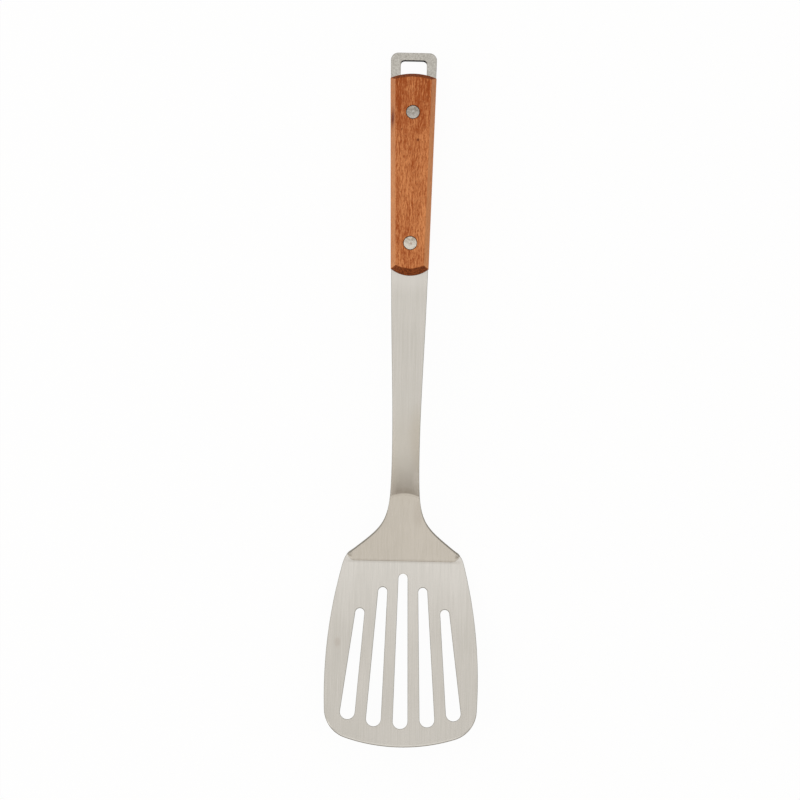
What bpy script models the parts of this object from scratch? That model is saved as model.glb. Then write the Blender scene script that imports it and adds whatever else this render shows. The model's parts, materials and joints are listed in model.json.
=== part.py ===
"""Slotted barbecue turner with a wooden grip.

One sheet of stainless steel is blanked, ground at its front edge, deburred and pressed into
blade, shoulder, shank and tang. Two wooden scales sit on the tang, held by two cutler's rivets,
each a pin half driven into a tube half.

The tool is laid out along +Y with the handle's far end at y = 0 and the tang's middle plane at
z = 0. An empty then carries every piece to the way the tool lies on a table: on the heel of the
blade and on the far end of the lower scale.
"""

import math

import bmesh
import bpy
from mathutils import Vector
from mathutils.geometry import interpolate_bezier

MM = 0.001

# Steel sheet
SHEET_THICKNESS = 2.0 * MM
DEBURR = 0.25 * MM
GRIND_WIDTH = 1.3 * MM
GRIND_DEPTH = 0.8 * MM
GRIND_FADE = math.radians(60.0)

# Blade, measured along the sheet
BLADE_LENGTH = 123.6 * MM
BLADE_WIDTH = 101.2 * MM
BLADE_WIDEST = 40.5 * MM
BLADE_SIDE_RADIUS = 315.0 * MM
FRONT_RADIUS = 118.0 * MM
FRONT_CORNER_RADIUS = 20.0 * MM

# Drain slots, fanned about a point on the centre line behind the heel
SLOT_ROWS_PER_SIDE = 2
SLOT_FAN_DISTANCE = 238.0 * MM
SLOT_FAN_STEP = math.radians(2.93)
SLOT_HEEL_WIDTH = 6.1 * MM
SLOT_FRONT_WIDTH = 9.8 * MM
SLOT_HEEL_MARGINS = (9.4 * MM, 18.5 * MM, 32.8 * MM)
SLOT_FRONT_MARGIN = 11.9 * MM

# Shoulder, the step between the blade and the shank
SHOULDER_LENGTH = 52.4 * MM
SHOULDER_CORNER_WIDTH = 67.0 * MM
SHOULDER_CORNER_BEHIND_HEEL = 7.4 * MM
SHOULDER_FLARE = math.radians(46.0)
HEEL_CORNER_BEFORE_HEEL = 5.0 * MM
WAIST_WIDTH = 18.0 * MM
WAIST_BEHIND_HEEL = 80.0 * MM

# How far each curve of the outline keeps to its end's direction, as a share of its length
HEEL_CORNER_PULL = 0.45
SHOULDER_PULL = 0.42
WAIST_PULL = 0.69
SHANK_PULL = 0.3
TANG_PULL = 0.45

# Shank, tang and hanging loop
SHANK_LENGTH = 143.2 * MM
TANG_FRONT_WIDTH = 24.0 * MM
TANG_END_WIDTH = 30.4 * MM
LOOP_LENGTH = 14.0 * MM
LOOP_CORNER_RADIUS = 5.0 * MM
WINDOW_WIDTH = 17.3 * MM
WINDOW_LENGTH = 13.6 * MM
WINDOW_CORNER_RADIUS = 2.6 * MM
LOOP_BAR = 5.6 * MM

# Press bends, as slopes against the tang, and radii of the sheet's middle plane
BLADE_SLOPE = math.radians(-4.5)
SHOULDER_SLOPE = math.radians(38.0)
NECK_SLOPE = math.radians(5.5)
HEEL_BEND_RADIUS = 4.5 * MM
NECK_BEND_RADIUS = 4.0 * MM
BOW_LENGTH = 110.0 * MM
NECK_ARCH = 3.15 * MM
NECK_ARCH_WIDTH = 19.8 * MM
NECK_ARCH_REACH = 30.0 * MM
HEEL_CURL = 3.8 * MM
HEEL_CURL_WIDTH = 5.0 * MM
HEEL_CURL_INSET = 1.0 * MM
HEEL_CURL_REACH = 16.0 * MM

# Wooden scales
GRIP_LENGTH = 135.0 * MM
GRIP_FRONT_WIDTH = 24.9 * MM
GRIP_END_WIDTH = 30.8 * MM
SCALE_THICKNESS = 7.5 * MM
SCALE_FRONT_ARCH = 4.6 * MM
SCALE_END_ARCH = 3.1 * MM
SCALE_END_LEAN = 3.6 * MM
SCALE_SIDE_LEAN = 3.3 * MM
SCALE_SOFTENING = 0.3 * MM
SCALE_SOFTENED_FROM = math.radians(35.0)
SEAT_GAP = 0.3 * MM

# Cutler's rivets
UPPER_RIVET_FROM_GRIP_END = 27.4 * MM
LOWER_RIVET_FROM_GRIP_FRONT = 20.6 * MM
RIVET_HEAD_DIAMETER = 8.8 * MM
RIVET_HEAD_THICKNESS = 1.6 * MM
RIVET_HEAD_CROWN = 0.3 * MM
RIVET_DIMPLE_DIAMETER = 1.3 * MM
RIVET_DIMPLE_DEPTH = 0.15 * MM
RIVET_EDGE = 0.2 * MM
RIVET_TUBE_DIAMETER = 5.6 * MM
RIVET_PIN_DIAMETER = 3.2 * MM
RIVET_PIN_CLEARANCE = 0.3 * MM
RIVET_PIN_END_CLEARANCE = 1.0 * MM

# Facets
ROUND_STEPS = 40
HOLE_STEPS = 32
SLOT_END_STEPS = 16
CORNER_STEPS = 8
FRONT_CORNER_STEPS = 14
HEEL_CORNER_STEPS = 12
FRONT_STEPS = 16
SIDE_STEPS = 12
SHOULDER_STEPS = 26
SCALE_ARCH_STEPS = 16
CROWN_STEPS = 4
HEEL_BEND_STEPS = 10
NECK_BEND_STEPS = 6
BEND_SPACING = 4.0 * MM
BOW_SPACING = 10.0 * MM
CURL_SPACING = 1.0 * MM
ARCH_SPACING = 4.0 * MM

# Places along the sheet, from the front edge of the blade
AT_HEEL = BLADE_LENGTH
AT_NECK = AT_HEEL + SHOULDER_LENGTH
AT_GRIP_FRONT = AT_NECK + SHANK_LENGTH
AT_GRIP_END = AT_GRIP_FRONT + GRIP_LENGTH
AT_END = AT_GRIP_END + LOOP_LENGTH
AT_UPPER_RIVET = AT_GRIP_END - UPPER_RIVET_FROM_GRIP_END
AT_LOWER_RIVET = AT_GRIP_FRONT + LOWER_RIVET_FROM_GRIP_FRONT
AT_WAIST = AT_HEEL + WAIST_BEHIND_HEEL

# Fits
RIVET_BORE_DIAMETER = RIVET_PIN_DIAMETER + 2 * RIVET_PIN_CLEARANCE
RIVET_HOLE_DIAMETER = RIVET_TUBE_DIAMETER + 2 * SEAT_GAP
RIVET_RECESS_DIAMETER = RIVET_HEAD_DIAMETER + 2 * SEAT_GAP
SCALE_SEAT = SHEET_THICKNESS / 2 + SEAT_GAP
SCALE_FACE = SCALE_SEAT + SCALE_THICKNESS

MERGE = 0.001 * MM
TURNED_MERGE = 0.01 * MM
FLAT = math.radians(1.0)
SHARP = math.radians(30.0)
SCALE_SHARP = math.radians(10.0)
UNWARP_ROUNDS = 40


# Scene helpers


def clear_scene():
    for scene_object in list(bpy.data.objects):
        bpy.data.objects.remove(scene_object, do_unlink=True)


def new_collection(name):
    collection = bpy.data.collections.new(name)
    bpy.context.scene.collection.children.link(collection)
    return collection


def principled(name, colour, roughness, metallic):
    material = bpy.data.materials.new(name)
    material.use_nodes = True
    shader = material.node_tree.nodes["Principled BSDF"]
    shader.inputs["Base Color"].default_value = (*colour, 1.0)
    shader.inputs["Roughness"].default_value = roughness
    shader.inputs["Metallic"].default_value = metallic
    return material


def mesh_object(name, mesh, material, collection, parent, sharp=SHARP):
    mesh.materials.clear()
    mesh.materials.append(material)
    mesh.shade_smooth()
    mesh.set_sharp_from_angle(angle=sharp)
    made = bpy.data.objects.new(name, mesh)
    made.parent = parent
    collection.objects.link(made)
    return made


def evaluated_mesh(scene_object):
    bpy.context.view_layer.update()
    depsgraph = bpy.context.evaluated_depsgraph_get()
    return bpy.data.meshes.new_from_object(scene_object.evaluated_get(depsgraph))


# Plane geometry


def arc(centre, radius, start, end, steps):
    """Points on an arc from the start angle to the end angle, both included."""
    angles = [start + (end - start) * step / steps for step in range(steps + 1)]
    return [centre + radius * Vector((math.cos(a), math.sin(a))) for a in angles]


def angle_from(centre, point):
    return math.atan2(point.y - centre.y, point.x - centre.x)


def circle_crossing(centre_a, radius_a, centre_b, radius_b):
    """The crossing of two circles that lies to the right of the line from a to b."""
    apart = centre_b - centre_a
    along = (apart.length_squared + radius_a**2 - radius_b**2) / (2 * apart.length)
    aside = math.sqrt(radius_a**2 - along**2)
    direction = apart.normalized()
    return centre_a + along * direction + aside * Vector((direction.y, -direction.x))


def mirrored(right_half):
    """The whole outline from its right half, which starts and ends on the centre line."""
    left_half = [Vector((-point.x, point.y)) for point in reversed(right_half[1:-1])]
    return right_half + left_half


def smoothstep(value):
    clamped = min(max(value, 0.0), 1.0)
    return clamped * clamped * (3 - 2 * clamped)


# Outline of the steel blank


def front_circle():
    return Vector((0.0, FRONT_RADIUS)), FRONT_RADIUS


def side_circle():
    return Vector((BLADE_WIDTH / 2 - BLADE_SIDE_RADIUS, BLADE_WIDEST)), BLADE_SIDE_RADIUS


def front_corner_centre():
    front_centre, front_radius = front_circle()
    side_centre, side_radius = side_circle()
    return circle_crossing(
        side_centre,
        side_radius - FRONT_CORNER_RADIUS,
        front_centre,
        front_radius - FRONT_CORNER_RADIUS,
    )


def blade_edge():
    """Right half of the blade from the middle of its front edge to just before the heel."""
    front_centre, front_radius = front_circle()
    side_centre, side_radius = side_circle()
    corner = front_corner_centre()
    corner_start = angle_from(front_centre, corner)
    corner_end = angle_from(side_centre, corner)
    side_end = math.asin((AT_HEEL - HEEL_CORNER_BEFORE_HEEL - side_centre.y) / side_radius)
    front = arc(front_centre, front_radius, -math.pi / 2, corner_start, FRONT_STEPS)
    rounding = arc(corner, FRONT_CORNER_RADIUS, corner_start, corner_end, FRONT_CORNER_STEPS)
    side = arc(side_centre, side_radius, corner_end, side_end, SIDE_STEPS)
    return front + rounding[1:] + side[1:]


def heel_corner(side_point):
    """The rounded corner where the blade's side turns into the shoulder."""
    side_centre, _ = side_circle()
    out = (side_point - side_centre).normalized()
    along_side = Vector((-out.y, out.x))
    end = shoulder_start()
    reach = (end - side_point).length * HEEL_CORNER_PULL
    start_handle = side_point + reach * along_side
    end_handle = end - reach * shoulder_direction()
    return bezier(side_point, start_handle, end_handle, end, HEEL_CORNER_STEPS)


def shoulder_start():
    return Vector((SHOULDER_CORNER_WIDTH / 2, AT_HEEL + SHOULDER_CORNER_BEHIND_HEEL))


def shoulder_direction():
    return Vector((-math.sin(SHOULDER_FLARE), math.cos(SHOULDER_FLARE)))


def shoulder():
    """The concave sweep from the heel corner in to the waist of the shank."""
    start = shoulder_start()
    end = Vector((WAIST_WIDTH / 2, AT_WAIST))
    start_handle = start + SHOULDER_PULL * (end.y - start.y) * shoulder_direction()
    end_handle = end - Vector((0.0, WAIST_PULL * (end.y - start.y)))
    return bezier(start, start_handle, end_handle, end, SHOULDER_STEPS)


def bezier(start, start_handle, end_handle, end, steps):
    points = interpolate_bezier(start, start_handle, end_handle, end, steps + 1)
    return [Vector(point[:2]) for point in points]


def shank_to_tang():
    """From the waist out to the tang's front, straight at the tang end."""
    start = Vector((WAIST_WIDTH / 2, AT_WAIST))
    end = Vector((TANG_FRONT_WIDTH / 2, AT_GRIP_FRONT))
    run = end.y - start.y
    start_handle = start + Vector((0.0, SHANK_PULL * run))
    end_handle = end - TANG_PULL * run * Vector((tang_flare(), 1.0))
    return bezier(start, start_handle, end_handle, end, SIDE_STEPS)


def tang_flare():
    return (TANG_END_WIDTH - TANG_FRONT_WIDTH) / 2 / (AT_END - AT_GRIP_FRONT)


def tang_end():
    """The rounded far corner of the hanging loop and the middle of its end."""
    centre = Vector((TANG_END_WIDTH / 2 - LOOP_CORNER_RADIUS, AT_END - LOOP_CORNER_RADIUS))
    lean = math.atan(tang_flare())
    return arc(centre, LOOP_CORNER_RADIUS, -lean, math.pi / 2, CORNER_STEPS) + [Vector((0.0, AT_END))]


def blank_outline():
    edge = blade_edge()
    corner = heel_corner(edge[-1])
    half = edge + corner[1:] + shoulder()[1:] + shank_to_tang()[1:] + tang_end()
    return mirrored(half)


# Holes in the steel blank


def front_edge_along(direction, origin):
    """Distance from origin, along direction, to the arc of the blade's front edge."""
    centre, radius = front_circle()
    to_centre = origin - centre
    half_b = to_centre.dot(direction)
    return -half_b + math.sqrt(half_b**2 - to_centre.length_squared + radius**2)


def slot_outline(row):
    """A round-ended slot, wider towards the front edge; row 0 lies on the centre line."""
    fan_point = Vector((0.0, AT_HEEL + SLOT_FAN_DISTANCE))
    angle = row * SLOT_FAN_STEP
    direction = Vector((math.sin(angle), -math.cos(angle)))
    heel_radius = SLOT_HEEL_WIDTH / 2
    front_radius = SLOT_FRONT_WIDTH / 2
    heel_depth = SLOT_FAN_DISTANCE + SLOT_HEEL_MARGINS[abs(row)] + heel_radius
    heel_centre = fan_point + direction * heel_depth / math.cos(angle)
    front_distance = front_edge_along(direction, fan_point) - SLOT_FRONT_MARGIN - front_radius
    front_centre = fan_point + direction * front_distance
    lean = math.asin((front_radius - heel_radius) / (front_centre - heel_centre).length)
    facing = math.atan2(direction.y, direction.x)
    side = math.pi / 2 + lean
    front_end = arc(front_centre, front_radius, facing - side, facing + side, SLOT_END_STEPS)
    heel_end = arc(heel_centre, heel_radius, facing + side, facing + 2 * math.pi - side, SLOT_END_STEPS)
    return front_end + heel_end


def window_outline():
    """The rounded rectangular hole of the hanging loop; its front end lies between the scales."""
    half_width = WINDOW_WIDTH / 2 - WINDOW_CORNER_RADIUS
    far = AT_END - LOOP_BAR - WINDOW_CORNER_RADIUS
    near = AT_END - LOOP_BAR - WINDOW_LENGTH + WINDOW_CORNER_RADIUS
    centres = ((half_width, near), (half_width, far), (-half_width, far), (-half_width, near))
    outline = []
    for quarter, centre in enumerate(centres):
        start = (quarter - 1) * math.pi / 2
        outline += arc(Vector(centre), WINDOW_CORNER_RADIUS, start, start + math.pi / 2, CORNER_STEPS)
    return outline


def round_hole(along):
    step = 2 * math.pi / HOLE_STEPS
    return arc(Vector((0.0, along)), RIVET_HOLE_DIAMETER / 2, 0.0, 2 * math.pi - step, HOLE_STEPS - 1)


def blank_holes():
    slots = [slot_outline(row) for row in range(-SLOT_ROWS_PER_SIDE, SLOT_ROWS_PER_SIDE + 1)]
    return slots + [window_outline(), round_hole(AT_UPPER_RIVET), round_hole(AT_LOWER_RIVET)]


# Grinding and deburring: the rims of the blank as rings of an outline


def ground_share(point):
    """1 along the front edge, which is ground from above, fading to 0 round its corners."""
    corner = front_corner_centre()
    if point.y > corner.y:
        return 0.0
    turned = math.atan2(corner.y - point.y, abs(point.x) - corner.x)
    return smoothstep(turned / GRIND_FADE)


def inset(outline, widths, side):
    """The outline moved sideways, point by point, to its left for side +1 and right for -1."""
    moved = []
    for index, point in enumerate(outline):
        before = (point - outline[index - 1]).normalized()
        after = (outline[(index + 1) % len(outline)] - point).normalized()
        across = Vector((-before.y - after.y, before.x + after.x))
        mitre = across / (1 + before.dot(after))
        moved.append(point + side * widths[index] * mitre)
    return moved


def ring(bm, outline, heights):
    return [bm.verts.new((*point, height)) for point, height in zip(outline, heights)]


def rim(bm, outline, shares, side):
    """The rim along an outline: deburred below, then the wall, then deburred or ground above."""
    top = SHEET_THICKNESS / 2
    widths = [DEBURR + (GRIND_WIDTH - DEBURR) * share for share in shares]
    depths = [DEBURR + (GRIND_DEPTH - DEBURR) * share for share in shares]
    deburrs = [DEBURR] * len(outline)
    rings = (
        ring(bm, inset(outline, deburrs, side), [-top] * len(outline)),
        ring(bm, outline, [DEBURR - top] * len(outline)),
        ring(bm, outline, [top - depth for depth in depths]),
        ring(bm, inset(outline, widths, side), [top] * len(outline)),
    )
    for lower, upper in zip(rings, rings[1:]):
        for index in range(len(outline)):
            bm.faces.new((lower[index - 1], lower[index], upper[index], upper[index - 1]))


def lies_on(edge, axis, lines):
    start, end = (vert.co[axis] for vert in edge.verts)
    return any(abs(start - line) < MERGE and abs(end - line) < MERGE for line in lines)


def sheet_blank(outer, holes):
    """The flat blank about z = 0, with the rims of its outer outline and of its holes."""
    bm = bmesh.new()
    rim(bm, outer, [ground_share(point) for point in outer], 1)
    for hole in holes:
        rim(bm, hole, [0.0] * len(hole), -1)
    for height in (-SHEET_THICKNESS / 2, SHEET_THICKNESS / 2):
        level = [edge for edge in bm.edges if lies_on(edge, 2, (height,))]
        bmesh.ops.triangle_fill(bm, use_beauty=True, edges=level)
    bmesh.ops.recalc_face_normals(bm, faces=bm.faces)
    return bm


# Pressing the blank


def bend_half_length(radius, turn):
    return radius * abs(turn) / 2


HEEL_BEND_HALF = bend_half_length(HEEL_BEND_RADIUS, SHOULDER_SLOPE - BLADE_SLOPE)
NECK_BEND_HALF = bend_half_length(NECK_BEND_RADIUS, SHOULDER_SLOPE - NECK_SLOPE)


def neck_arch(across):
    """How far the neck crease comes forward at this distance from the centre line."""
    share = min(2 * abs(across) / NECK_ARCH_WIDTH, 1.0)
    return NECK_ARCH * share**2


def heel_curl(across):
    """How far the ends of the heel crease turn up into the shoulder."""
    share = (abs(across) - heel_curl_start()) / HEEL_CURL_WIDTH
    return HEEL_CURL * min(max(share, 0.0), 1.0) ** 2


def heel_curl_start():
    return SHOULDER_CORNER_WIDTH / 2 - HEEL_CURL_INSET


def crease_shift(along, across):
    """How far a line straight across the sheet is curved with the nearest crease."""
    curl = heel_curl(across) * plateau(along - AT_HEEL, HEEL_BEND_HALF, HEEL_CURL_REACH)
    arch = neck_arch(across) * plateau(along - AT_NECK, NECK_BEND_HALF, NECK_ARCH_REACH)
    return curl - arch


def straightened(along, across):
    """The straight line that crease_shift curves to pass through this point."""
    line = along
    for _ in range(UNWARP_ROUNDS):
        line = along - crease_shift(line, across)
    return line


def plateau(distance, half_width, reach):
    """1 within half_width of a crease, easing to 0 over the reach beyond it."""
    return 1 - smoothstep((abs(distance) - half_width) / reach)


def walk(runs, along):
    """Place and slope on a path of (length, start slope, end slope) runs."""
    y, z, slope = 0.0, 0.0, runs[0][1]
    for length, start, end in runs:
        step = min(along, length)
        slope = start + (end - start) * step / length
        middle = (start + slope) / 2
        turn = (slope - start) / 2
        chord = step * math.sin(turn) / turn if turn else step
        y += chord * math.cos(middle)
        z += chord * math.sin(middle)
        along -= step
        if along <= 0:
            break
    return y, z, slope


def side_profile(heel, neck):
    """Runs of the sheet's middle plane from the front edge back, for given crease places."""
    bow_start = neck + NECK_BEND_HALF
    bow_end = AT_NECK + NECK_BEND_HALF + BOW_LENGTH
    return (
        (heel - HEEL_BEND_HALF, BLADE_SLOPE, BLADE_SLOPE),
        (2 * HEEL_BEND_HALF, BLADE_SLOPE, SHOULDER_SLOPE),
        (neck - NECK_BEND_HALF - heel - HEEL_BEND_HALF, SHOULDER_SLOPE, SHOULDER_SLOPE),
        (2 * NECK_BEND_HALF, SHOULDER_SLOPE, NECK_SLOPE),
        (bow_end - bow_start, NECK_SLOPE, 0.0),
        (AT_END - bow_end, 0.0, 0.0),
    )


CENTRE_PROFILE = side_profile(AT_HEEL, AT_NECK)
END_Y, END_Z, _ = walk(CENTRE_PROFILE, AT_END)


def middle_plane(along, across):
    """Place and slope of the middle plane, with the creases curved across the sheet."""
    column = side_profile(AT_HEEL + heel_curl(across), AT_NECK - neck_arch(across))
    y, z, slope = walk(column, along)
    straight_y, straight_z, straight_slope = walk(CENTRE_PROFILE, along)
    flat = smoothstep((along - AT_NECK - NECK_BEND_HALF) / BOW_LENGTH)
    return (
        y + (straight_y - y) * flat - END_Y,
        z + (straight_z - z) * flat - END_Z,
        slope + (straight_slope - slope) * flat,
    )


def pressed(point):
    """Where a point of the flat blank goes in the press."""
    y, z, slope = middle_plane(point.y, point.x)
    return Vector((point.x, y - point.z * math.sin(slope), z + point.z * math.cos(slope)))


def even_cuts(start, end, step):
    count = max(1, round((end - start) / step))
    return [start + (end - start) * index / count for index in range(count + 1)]


def cuts_along():
    """Lines across the sheet that let it bend: close together in the creases."""
    heel_start = AT_HEEL - HEEL_BEND_HALF
    heel_end = AT_HEEL + HEEL_BEND_HALF
    neck_start = AT_NECK - NECK_BEND_HALF
    neck_end = AT_NECK + NECK_BEND_HALF
    arch_end = neck_end + NECK_ARCH_REACH
    cuts = even_cuts(heel_start - HEEL_CURL_REACH, heel_start, BEND_SPACING)
    cuts += even_cuts(heel_start, heel_end, 2 * HEEL_BEND_HALF / HEEL_BEND_STEPS)
    cuts += even_cuts(heel_end, neck_start, BEND_SPACING)
    cuts += even_cuts(neck_start, neck_end, 2 * NECK_BEND_HALF / NECK_BEND_STEPS)
    cuts += even_cuts(neck_end, arch_end, BEND_SPACING)
    cuts += even_cuts(arch_end, neck_end + BOW_LENGTH, BOW_SPACING)
    return sorted(set(cuts))


def cuts_across():
    """Lines along the sheet that let its creases curve: (across, start, end)."""
    arch_lines = even_cuts(-NECK_ARCH_WIDTH / 2, NECK_ARCH_WIDTH / 2, ARCH_SPACING)
    neck_range = (
        AT_NECK - NECK_BEND_HALF - NECK_ARCH_REACH,
        AT_NECK + NECK_BEND_HALF + BOW_LENGTH,
    )
    curl_lines = even_cuts(heel_curl_start(), heel_curl_start() + HEEL_CURL_WIDTH, CURL_SPACING)
    heel_reach = HEEL_BEND_HALF + HEEL_CURL_REACH
    heel_range = (AT_HEEL - heel_reach, AT_HEEL + heel_reach)
    cuts = [(across, *neck_range) for across in arch_lines]
    cuts += [(side * across, *heel_range) for across in curl_lines for side in (-1, 1)]
    return cuts


def score(bm, faces, place, normal):
    """Cuts new edges into the faces along a plane, without parting them."""
    edges = {edge for face in faces for edge in face.edges}
    verts = {vert for face in faces for vert in face.verts}
    bmesh.ops.bisect_plane(
        bm,
        geom=[*faces, *edges, *verts],
        dist=MERGE,
        plane_co=place,
        plane_no=normal,
    )


def is_level(edge):
    """Whether the edge lies inside the flat top or bottom of the blank."""
    return all(abs(face.normal.z) > math.cos(FLAT) for face in edge.link_faces)


def clear_strips(bm, along_lines, across_lines):
    """Leaves only the scored lines on the flat faces, where the sheet is going to bend, and
    splits every face into triangles, which stay flat when their corners move."""
    crossing = []
    for edge in bm.edges:
        middle = (edge.verts[0].co.y + edge.verts[1].co.y) / 2
        bends = along_lines[0] < middle < along_lines[-1]
        if bends and is_level(edge) and not lies_on(edge, 1, along_lines):
            if not lies_on(edge, 0, across_lines):
                crossing.append(edge)
    ends = {vert for edge in crossing for vert in edge.verts}
    bmesh.ops.dissolve_edges(bm, edges=crossing, use_verts=False)
    passed = [vert for vert in ends if vert.is_valid and len(vert.link_edges) == 2]
    bmesh.ops.dissolve_verts(bm, verts=passed)
    bmesh.ops.triangulate(bm, faces=bm.faces, quad_method="BEAUTY", ngon_method="BEAUTY")


def press(bm):
    """Scores the flat blank where it bends and moves every point to where the press puts it."""
    for vert in bm.verts:
        vert.co.y = straightened(vert.co.y, vert.co.x)
    along_lines = cuts_along()
    for along in along_lines:
        score(bm, list(bm.faces), (0.0, along, 0.0), (0.0, 1.0, 0.0))
    across_lines = cuts_across()
    for across, start, end in across_lines:
        within = [face for face in bm.faces if start < face.calc_center_median().y < end]
        score(bm, within, (across, 0.0, 0.0), (1.0, 0.0, 0.0))
    clear_strips(bm, along_lines, [across for across, _, _ in across_lines])
    for vert in bm.verts:
        vert.co.y += crease_shift(vert.co.y, vert.co.x)
        vert.co = pressed(vert.co)
    bmesh.ops.recalc_face_normals(bm, faces=bm.faces)


def steel_turner(collection, parent):
    bm = sheet_blank(blank_outline(), blank_holes())
    press(bm)
    mesh = bpy.data.meshes.new("steel_turner")
    bm.to_mesh(mesh)
    bm.free()
    steel = principled("brushed_steel", (0.60, 0.57, 0.52), 0.34, 1.0)
    return mesh_object("steel_turner", mesh, steel, collection, parent)


# Wooden scales


def handle_y(along):
    """Distance along the sheet as a y of the laid-out tool, on the straight tang."""
    return along - AT_END


def grip_half_width(along):
    share = (along - AT_GRIP_FRONT) / GRIP_LENGTH
    return (GRIP_FRONT_WIDTH + (GRIP_END_WIDTH - GRIP_FRONT_WIDTH) * share) / 2


def arched_end(apex, arch, way):
    """An arched end of a scale; way is +1 for the far end and -1 for the front end."""
    corner_along = apex - way * arch
    half = grip_half_width(corner_along)
    radius = (half**2 + arch**2) / (2 * arch)
    centre = Vector((0.0, apex - way * radius))
    spread = math.asin(half / radius)
    middle = way * math.pi / 2
    return arc(centre, radius, middle - spread, middle + spread, SCALE_ARCH_STEPS)


def scale_outline():
    front = arched_end(AT_GRIP_FRONT, SCALE_FRONT_ARCH, -1)
    far = arched_end(AT_GRIP_END, SCALE_END_ARCH, 1)
    return front + far


def lean_ends(bm):
    """Slopes both ends in towards the outer face, which keeps its taper."""
    middle = (AT_GRIP_FRONT + AT_GRIP_END) / 2
    for vert in bm.verts:
        if vert.co.z > 0:
            before = grip_half_width(vert.co.y)
            vert.co.y += SCALE_END_LEAN if vert.co.y < middle else -SCALE_END_LEAN
            vert.co.x *= grip_half_width(vert.co.y) / before


def lean_sides(bm):
    """Cuts both long sides along planes that slope in from the inner face's edges."""
    taper = (GRIP_END_WIDTH - GRIP_FRONT_WIDTH) / 2 / GRIP_LENGTH
    lean = math.atan(SCALE_SIDE_LEAN / SCALE_THICKNESS)
    for side in (-1, 1):
        outward = Vector((side, -taper, 0.0)).normalized()
        facing = math.cos(lean) * outward + Vector((0.0, 0.0, math.sin(lean)))
        edge_point = (side * grip_half_width(AT_GRIP_FRONT), AT_GRIP_FRONT, -SCALE_THICKNESS / 2)
        bmesh.ops.bisect_plane(
            bm,
            geom=[*bm.faces, *bm.edges, *bm.verts],
            dist=MERGE,
            plane_co=edge_point,
            plane_no=facing,
            clear_outer=True,
        )
        bmesh.ops.holes_fill(bm, edges=[edge for edge in bm.edges if edge.is_boundary])


def plank(name, outline, thickness):
    """A flat plank about z = 0."""
    curve = bpy.data.curves.new(name, "CURVE")
    curve.dimensions = "2D"
    curve.fill_mode = "BOTH"
    curve.extrude = thickness / 2
    spline = curve.splines.new("POLY")
    spline.points.add(len(outline) - 1)
    for point, place in zip(spline.points, outline):
        point.co = (place.x, place.y, 0.0, 1.0)
    spline.use_cyclic_u = True
    holder = bpy.data.objects.new(name, curve)
    bpy.context.scene.collection.objects.link(holder)
    mesh = evaluated_mesh(holder)
    mesh.name = name
    bpy.data.objects.remove(holder, do_unlink=True)
    bpy.data.curves.remove(curve)
    return mesh


def scale_blank(name):
    """A scale with its flat inner face at z = 0, under the outer face, before drilling."""
    mesh = plank(name, scale_outline(), SCALE_THICKNESS)
    bm = bmesh.new()
    bm.from_mesh(mesh)
    bmesh.ops.remove_doubles(bm, verts=bm.verts, dist=MERGE)
    bmesh.ops.dissolve_limit(bm, angle_limit=FLAT, verts=[], edges=bm.edges)
    lean_ends(bm)
    lean_sides(bm)
    for vert in bm.verts:
        vert.co.y = handle_y(vert.co.y)
        vert.co.z += SCALE_THICKNESS / 2
    bm.to_mesh(mesh)
    bm.free()
    return mesh


def wooden_scale(name, way, cutters, collection, parent):
    """way is +1 for the scale above the tang and -1 for the one below it."""
    wood = principled(f"{name}_wood", (0.46, 0.16, 0.05), 0.5, 0.0)
    scale = mesh_object(name, scale_blank(name), wood, collection, parent, SCALE_SHARP)
    scale.location.z = way * SCALE_SEAT
    scale.rotation_euler.y = 0.0 if way > 0 else math.pi
    softening = scale.modifiers.new("softening", "BEVEL")
    softening.limit_method = "ANGLE"
    softening.angle_limit = SCALE_SOFTENED_FROM
    softening.width = SCALE_SOFTENING
    softening.segments = 1
    softening.loop_slide = False
    for cutter in cutters:
        drill = scale.modifiers.new(cutter.name, "BOOLEAN")
        drill.operation = "DIFFERENCE"
        drill.object = cutter
        drill.solver = "EXACT"
    flat_shading = scale.modifiers.new("flat_shading", "WEIGHTED_NORMAL")
    flat_shading.keep_sharp = True
    return scale


# Rivets


def turned(name, profile, material, collection, parent):
    """A solid turned about Z from an (out, up) profile that runs down its outer side."""
    bm = bmesh.new()
    verts = [bm.verts.new((out, 0.0, up)) for out, up in profile]
    for upper, lower in zip(verts, verts[1:]):
        bm.edges.new((upper, lower))
    mesh = bpy.data.meshes.new(name)
    bm.to_mesh(mesh)
    bm.free()
    made = mesh_object(name, mesh, material, collection, parent)
    screw = made.modifiers.new("turning", "SCREW")
    screw.steps = ROUND_STEPS
    screw.render_steps = ROUND_STEPS
    screw.use_merge_vertices = True
    screw.merge_threshold = TURNED_MERGE
    screw.use_smooth_shade = True
    return made


def head_crown():
    """(out, up) points of a rivet head's crowned face, from the centre mark to the rim."""
    radius = RIVET_HEAD_DIAMETER / 2
    dimple = RIVET_DIMPLE_DIAMETER / 2
    points = [(0.0, RIVET_HEAD_CROWN - RIVET_DIMPLE_DEPTH)]
    for step in range(CROWN_STEPS + 1):
        out = dimple + (radius - RIVET_EDGE - dimple) * step / CROWN_STEPS
        points.append((out, RIVET_HEAD_CROWN * (1 - (out / radius) ** 2)))
    points.append((radius, -RIVET_EDGE))
    return points


def pin_profile():
    """The male half: a head on the front scale and a pin that stops short of the bore's floor."""
    head = [(out, SCALE_FACE + up) for out, up in head_crown()]
    pin_end = bore_floor() + RIVET_PIN_END_CLEARANCE
    pin_radius = RIVET_PIN_DIAMETER / 2
    under_head = SCALE_FACE - RIVET_HEAD_THICKNESS
    return head + [
        (RIVET_HEAD_DIAMETER / 2, under_head),
        (pin_radius, under_head),
        (pin_radius, pin_end + RIVET_EDGE),
        (pin_radius - RIVET_EDGE, pin_end),
        (0.0, pin_end),
    ]


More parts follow.
